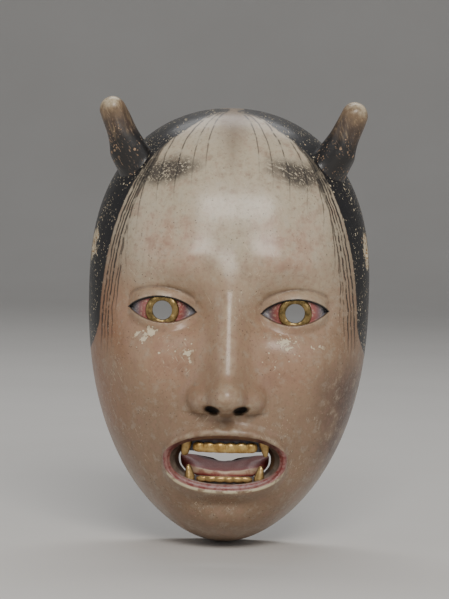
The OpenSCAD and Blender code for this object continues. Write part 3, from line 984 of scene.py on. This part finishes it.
def red_lacquer():
    """Worn red on the tongue, with a pale rubbed line along its front, and painted shade darkening it
    towards the root.
    """
    paint = Paint("red_lacquer")
    front_edge = paint.attribute("front_edge")
    blots = paint.noise(4, detail=5.0)
    fine = paint.noise(0.8, detail=3.0)
    colour = paint.mix(blots.ramp(0.32, 0.7), linear(134, 48, 44), linear(148, 72, 64))
    colour = paint.mix(fine.ramp(0.52, 0.66) * 0.35, colour, linear(176, 122, 104))
    # Painted shade: the tongue turns near black towards its root, as if shaded by the upper teeth.
    colour = paint.mix(paint.attribute("root").ramp(0.35, 1.0) * 0.85, colour, linear(52, 24, 24))
    rubbed = front_edge * (0.35 + 0.65 * blots.ramp(0.36, 0.56))
    colour = paint.mix(rubbed, colour, linear(206, 176, 146))
    height = blots * 0.4 + fine * 0.15
    return paint.finish(colour, 0.42 + fine * 0.2, paint.bump(height, 0.35, 0.7), coat=0.15,
                        Coat_Roughness=0.2)


def gum_paint():
    """Blue-grey over the upper teeth, and darker reddish brown further into the mouth."""
    paint = Paint("gum_paint")
    blots = paint.noise(2.6, detail=4.0)
    colour = paint.mix(blots.ramp(0.35, 0.65), linear(66, 68, 76), linear(92, 92, 98))
    deep = paint.y.ramp(-52, -48)
    colour = paint.mix(deep, colour, linear(48, 30, 27))
    over_teeth = paint.z.ramp(-51.5, -50.4)
    colour = paint.mix(over_teeth * 0.8, colour, linear(78, 40, 36))
    return paint.finish(colour, 0.42 + blots * 0.2, paint.bump(blots, 0.3, 0.6))


def bare_wood():
    paint = Paint("bare_cypress")
    grain = paint.noise(0.8, detail=3.0, vector=paint.stretch(1, 1, 0.06))
    colour = paint.mix(grain.ramp(0.35, 0.7), linear(190, 156, 110), linear(150, 112, 70))
    return paint.finish(colour, 0.62 + grain * 0.1, paint.bump(grain, 0.1, 0.5))


def studio_paper():
    """The pale sweep that the mask stands on, a little uneven as rolled paper is."""
    paint = Paint("studio_paper")
    cloud = paint.noise(180, detail=3.0)
    fibre = paint.noise(0.9, detail=2.0)
    colour = paint.mix(cloud, linear(208, 205, 200), linear(218, 216, 212))
    return paint.finish(colour, 0.78 + fibre * 0.1, paint.bump(fibre, 0.05, 0.4))


# ---------------------------------------------------------------- the smaller pieces

def ball_depth(r):
    """Depth of the carved eyeball at a distance from the middle of its hole."""
    return BALL_DEPTH + math.sqrt(BALL_R * BALL_R - r * r)


def eye_ring(side, name, material):
    """A domed washer, hammered a little uneven, with a spigot round its bore."""
    middle = (RING_R + RING_BORE) / 2
    half = (RING_R - RING_BORE) / 2
    crown = ball_depth(middle) + 0.9
    dome_profile = []
    for k in range(15):
        a = math.pi * k / 14
        edge_depth = ball_depth(RING_R if a < math.pi / 2 else RING_BORE + 0.2)
        rise = math.sin(a) ** 0.8
        dome_profile.append((middle + half * math.cos(a), edge_depth + (crown - edge_depth) * rise))
    back_depth = -ring_high[1]
    spigot_r = VIEW_R - 0.1
    back = [(RING_BORE, back_depth), (spigot_r, back_depth), (spigot_r, ball_depth(VIEW_R) - 0.2),
            (RING_R - 0.1, ball_depth(RING_R) - 0.2)]
    profile = [(side * EYE_X + r, -depth, EYE_Z) for r, depth in dome_profile + back]
    bm = revolved(profile, (side * EYE_X, 0, EYE_Z), (0, 1, 0), 360, 96)
    points = positions(bm) / MM
    a = np.arctan2(points[:, 2] - EYE_Z, points[:, 0] - side * EYE_X)
    front = smooth(49, 52, -points[:, 1])
    points[:, 1] -= front * (0.07 * np.sin(5 * a + side) + 0.05 * np.sin(11 * a + 2))
    place(bm, points * MM)
    return finish_piece(bm, name + "_beaten", material, [name], 50)


def tooth_strip(name, material, arch_depth, half_angle, count, gum_side, covered, relief_mm):
    """A strip of gilt teeth on an arch. Gum paint covers some of its scalloped edge, at the top
    where gum_side is 1 and at the foot where it is -1."""
    low, high = box_mm(name)
    gum_z, edge_z = (high[2] - covered, low[2]) if gum_side > 0 else (low[2] + covered, high[2])
    middle = (gum_z + edge_z) / 2
    half = abs(gum_z - edge_z) / 2

    def form(t, a):
        phase = t * count
        tooth = np.floor(phase)
        w = 2 * (phase - tooth) - 1
        swell = np.cos(w * math.pi / 2) ** 0.8
        end = np.clip(1 - np.abs(2 * t - 1) ** 16, 0, 1) ** 0.5
        lump = 1 + 0.18 * np.sin(2.4 * tooth + 1)
        up = np.sign(np.sin(a)) * np.abs(np.sin(a)) ** 0.72
        out = np.sign(np.cos(a)) * np.abs(np.cos(a)) ** 0.85
        at_gum = np.clip(up * gum_side, 0, 1)
        at_edge = np.clip(-up * gum_side, 0, 1)
        reach = half * (1 - 0.30 * at_gum * (1 - swell)) - 0.12 * at_edge * (1 - swell)
        belly = 1 - 0.3 * at_edge ** 2
        radius = ARCH_R + 0.5 + np.where(out > 0, 0.6 + relief_mm * swell * belly * lump, 0.45) * out * end
        turn = math.radians(half_angle) * (2 * t - 1)
        return np.stack([radius * np.sin(turn), -(arch_depth + radius * np.cos(turn)),
                         middle + up * reach * end], axis=-1)

    bm = lofted(40, 200, form)
    return finish_piece(bm, name + "_gilded", material, [name])


def gum_ledges(material):
    """The wooden ledges behind the teeth, and the floor that the tongue lies on."""
    half_angle = math.radians(30)

    def swept(name, depth, outline):
        across, ahead = math.sin(-half_angle), math.cos(half_angle)
        start = [(r * across, -(depth + r * ahead), z) for r, z in outline]
        bm = revolved(start, (0, -depth, 0), (0, 0, 1), 60, 72, 0.5)
        return finish_piece(bm, name, material, sharp_angle=40)

    behind = ARCH_R - 5
    front = ARCH_R - 0.15
    over_lip = front + 3
    edge, root, step, top = -56.2, -50.6, -47.6, -44
    swept("upper_gum", UPPER_ARCH, [(behind, edge), (front, edge), (front, root), (over_lip, step),
                                    (over_lip, top), (behind, top)])
    inner_r = 10
    foot, edge = FLOOR_Z - 7, -68.5
    swept("lower_gum", LOWER_ARCH, [(inner_r, foot), (front, foot), (front, edge), (behind, edge),
                                    (behind, FLOOR_Z), (inner_r, FLOOR_Z)])


def fang(name, side, up, sharpness, material):
    """A gilt fang that curls outwards. sharpness is the share of its girth lost at the tip."""
    low, high = box_mm(name)
    root_z, tip_z = (high[2], low[2]) if up else (low[2], high[2])
    middle_x = (low[0] + high[0]) / 2 - side * 0.3
    middle_y = (low[1] + high[1]) / 2
    girth = 2.75

    def form(t, a):
        end = np.clip(1 - np.abs(2 * t - 1) ** 7, 0, 1) ** 0.5
        taper = girth * (1 - sharpness * smooth(0.3, 1.0, t)) * end
        curl = 0.7 * smooth(0.35, 1, t)
        facet = 1 + 0.06 * np.cos(3 * a + 1 + side) * smooth(0.2, 0.5, t)
        return np.stack([middle_x + side * curl + taper * facet * np.cos(a),
                         middle_y - 0.4 * curl + 0.92 * taper * facet * np.sin(a),
                         root_z + (tip_z - root_z) * t], axis=-1)

    bm = lofted(36, 48, form)
    return finish_piece(bm, name + "_gilded", material, [name])


def carved_tongue(material):
    """A tongue hollowed like a dish, whose sides rise behind the fangs. It lies on its ledge."""
    half_breadth = tongue_high[0]
    base = tongue_low[2]
    length = tongue_high[1] - tongue_low[1]
    front = -tongue_low[1]
    foot_share = 0.72
    front_r = front - LOWER_ARCH

    def form(t, a):
        # t runs from the root to the front, and a once round.
        plan = np.clip(1 - np.abs(2 * t - 1) ** 5, 0, 1) ** 0.5
        across = np.sign(np.cos(a)) * np.abs(np.cos(a)) ** 0.8
        up = np.sin(a)
        below = np.clip(-up, 0, 1) ** 0.6
        wide = (half_breadth - 4.0 * smooth(0.5, 1.0, t)) * (1 - (1 - foot_share) * below ** 3)
        x = wide * plan * across
        rim = (tongue_high[2] - base) * (1 - 0.52 * smooth(0.45, 1.0, t))
        middle = 7.9 - 3.6 * smooth(0.0, 0.95, t)
        top = middle + (rim - middle) * np.abs(across) ** 2.2
        top = top - 0.35 * bell(across / 0.10) * smooth(1.0, 0.6, t)
        side_z = rim - 1.9
        height = np.where(up > 0, side_z + (top - side_z) * np.clip(up, 0, 1) ** 0.6, side_z * (1 - below))
        middle_z = 0.5 * top
        height = middle_z + (height - middle_z) * plan ** 0.5
        ripple = 0.12 * np.sin(0.9 * x + 5 * t) * np.clip(up, 0, 1) * plan
        depth = front - length * (1 - t) - x ** 2 / (2 * front_r) * t ** 2
        return np.stack([x, -depth, base + height + ripple], axis=-1)

    bm = lofted(120, 110, form)
    tongue = finish_piece(bm, "tongue_lacquered", material, ["tongue"])
    x, y, z = (read_array(tongue.data.vertices, "co", 3) / MM).T
    depth = -y + x ** 2 / (2 * front_r)
    on_top = smooth(base + 2.2, base + 3.6, z)
    set_attribute(tongue, "front_edge", smooth(front - 2.6, front - 1.2, depth) * on_top)
    # How far back towards the root, for the painted shade there.
    set_attribute(tongue, "root", smooth(front - 5, front - length, depth))
    return tongue


def horn(name, side, material, skin):
    """A stub horn with a blunt tip, whose foot spreads out over the crown like a root."""
    seat = np.array([side * HORN_X, -HORN_DEPTH, HORN_Z])
    foot = -9.0
    turn = Matrix.Rotation(side * HORN_LEAN, 3, "Y") @ Matrix.Rotation(HORN_NOD, 3, "X")
    lean = np.array(turn)

    def form(t, a):
        s = foot + (HORN_L - foot) * t
        spread = np.clip((13 - s) / 13, 0, 2) ** 2.6
        radius = HORN_TIP_R + 3.0 * smooth(30, 0, s) + 2.1 * spread
        round_end = np.clip((HORN_L - s) / HORN_TIP_R, 0, 1)
        radius = radius * np.sqrt(np.clip(1 - (1 - round_end) ** 2, 0, 1))
        radius = radius * np.clip((s - foot) / 1.5, 0, 1) ** 0.5
        worn = 1 + 0.04 * np.sin(2 * a + 0.3 * s) + 0.03 * np.sin(3 * a - 0.21 * s + side)
        roots = 1 + 0.06 * np.sin(5 * a + side) * smooth(6, -4, s)
        local = np.stack([radius * worn * roots * np.cos(a) - side * 0.5 * spread,
                          radius * worn * roots * np.sin(a), s], axis=-1)
        return local @ lean.T + seat

    bm = lofted(96, 130, form)
    # The foot is drawn in until its edge lies just under the skin.
    points = positions(bm) / MM
    along = (points - seat) @ lean[:, 2]
    hold = smooth(9.0, -4.0, along)
    for index in np.nonzero(hold > 0)[0]:
        near, normal, _, _ = skin.find_nearest(points[index] * MM)
        sunk = np.array(near - normal * 1.6 * MM) / MM
        points[index] += (sunk - points[index]) * hold[index]
    points[:, 1] = np.minimum(points[:, 1], -0.5)
    place(bm, points * MM)
    piece = finish_piece(bm, name + "_carved", material, [name])
    set_attribute(piece, "along", along / HORN_L)
    return piece


# ---------------------------------------------------------------- building the mask

skin_paint = painted_wood()
horn_paint = worn_horn()
ring_brass = gilding("eye_brass", linear(156, 132, 86), linear(96, 80, 48), linear(36, 30, 20), 0.6)
tooth_gilt = gilding("tooth_gilt", linear(214, 182, 118), linear(176, 138, 78), linear(70, 52, 36), 0.4)
fang_gilt = gilding("fang_gilt", linear(184, 154, 102), linear(150, 122, 78), linear(72, 56, 42), 0.6)
cypress = bare_wood()

shell = carved_shell(skin_paint)
skin = BVHTree.FromPolygons([v.co for v in shell.data.vertices], [p.vertices for p in shell.data.polygons])
for side, word in ((-1, "left"), (1, "right")):
    eye_ring(side, word + "_eye_ring", ring_brass)
    horn(word + "_horn", side, horn_paint, skin)
    fang("upper_" + word + "_fang", side, True, 0.34 if side < 0 else 0.55, fang_gilt)
    fang("lower_" + word + "_fang", side, False, 0.5, fang_gilt)
    for peg_slot in frame["nodes"][word + "_horn_peg"].material_slots:
        peg_slot.material = cypress
tooth_strip("upper_teeth", tooth_gilt, UPPER_ARCH, 22, 6, 1, 1.5, 0.95)
tooth_strip("lower_teeth", fang_gilt, LOWER_ARCH, 19, 6, -1, 1.6, 0.45)
gum_ledges(gum_paint())
carved_tongue(red_lacquer())


# ---------------------------------------------------------------- studio

def paper_sweep(material):
    """A floor that curves up into a backdrop behind the mask."""
    bm = bmesh.new()
    bend_r = 1.0
    back_y = 3.0
    floor_z = shell_low[2] * MM
    line = [(-3.0, floor_z), (back_y - bend_r, floor_z)]
    for k in range(1, 13):
        a = math.pi / 2 * k / 12
        line.append((back_y - bend_r + bend_r * math.sin(a), floor_z + bend_r * (1 - math.cos(a))))
    line.append((back_y, 3.0))
    half = 4.0
    verts = [bm.verts.new((-half, y, z)) for y, z in line]
    edges = [bm.edges.new(pair) for pair in zip(verts, verts[1:])]
    made = bmesh.ops.extrude_edge_only(bm, edges=edges)["geom"]
    far_verts = [g for g in made if isinstance(g, bmesh.types.BMVert)]
    bmesh.ops.translate(bm, verts=far_verts, vec=(2 * half, 0, 0))
    mesh = bpy.data.meshes.new("paper_sweep")
    bmesh.ops.recalc_face_normals(bm, faces=bm.faces[:])
    bm.to_mesh(mesh)
    bm.free()
    mesh.polygons.foreach_set("use_smooth", [True] * len(mesh.polygons))
    mesh.materials.append(material)
    sweep = bpy.data.objects.new("paper_sweep", mesh)
    bpy.context.scene.collection.objects.link(sweep)


def softbox(name, place, aim, width, height, watts, colour=(1.0, 1.0, 1.0)):
    light = bpy.data.lights.new(name, "AREA")
    light.shape = "RECTANGLE"
    light.size = width
    light.size_y = height
    light.energy = watts
    light.color = colour
    lamp = bpy.data.objects.new(name, light)
    lamp.location = place
    lamp.rotation_euler = (Vector(aim) - Vector(place)).to_track_quat("-Z", "Y").to_euler()
    bpy.context.scene.collection.objects.link(lamp)


paper_sweep(studio_paper())
middle = Vector((0, -0.03, 0))
softbox("key_light", (0.15, -1.45, 0.95), middle, 0.8, 0.6, 20, (1.0, 0.97, 0.93))
softbox("fill_light", (1.35, -0.8, 0.3), middle, 1.0, 1.3, 3.2)
softbox("side_light", (-1.35, -0.6, 0.3), middle, 1.0, 1.3, 3.6)
softbox("rim_light", (0.0, 0.7, 1.3), middle, 1.2, 0.6, 8)
world = bpy.data.worlds.new("studio")
world.use_nodes = True
world.node_tree.nodes["Background"].inputs["Color"].default_value = (0.93, 0.95, 1.0, 1.0)
world.node_tree.nodes["Background"].inputs["Strength"].default_value = 0.22
bpy.context.scene.world = world

camera = bpy.data.objects.new("camera", bpy.data.cameras.new("camera"))
camera.data.lens = 150
camera.data.sensor_width = 36
target = Vector((-0.0021, -0.03, 0.0136))
elevation = math.radians(3)
roll = math.radians(1.5)
distance = 1.185
camera.location = target + distance * Vector((0, -math.cos(elevation), math.sin(elevation)))
aim = (target - camera.location).to_track_quat("-Z", "Y").to_matrix()
camera.rotation_euler = (aim @ Matrix.Rotation(roll, 3, "Z")).to_euler()
bpy.context.scene.collection.objects.link(camera)
bpy.context.scene.camera = camera
